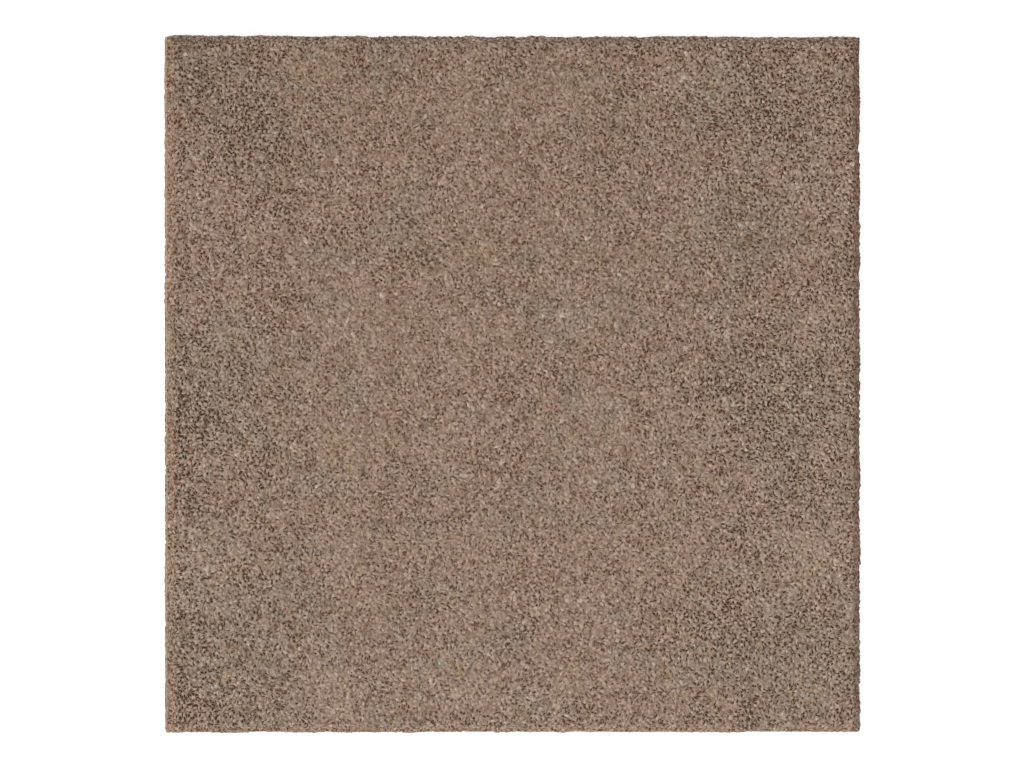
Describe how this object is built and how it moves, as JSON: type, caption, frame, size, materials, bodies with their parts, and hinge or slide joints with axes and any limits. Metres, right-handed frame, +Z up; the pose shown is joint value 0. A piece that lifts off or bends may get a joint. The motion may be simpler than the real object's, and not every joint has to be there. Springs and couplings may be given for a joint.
{
  "type": "rubber floor tile",
  "caption": "Square slab of bound rubber crumb with a bevelled upper edge, a flat open-textured walking surface and plain upright sides.",
  "frame": {"origin": "centre of the underside, the face that lies on the floor", "axes": "+Z up through the walking surface, +X to the right and +Y to the back of the tile as it is seen from above"},
  "size_m": [0.5, 0.5, 0.03],
  "materials": {
    "bound_rubber_crumb": "matte, open granular texture, taupe brown"
  },
  "bodies": {
    "root": {"rubber_tile": "bound_rubber_crumb"}
  },
  "joints": []
}
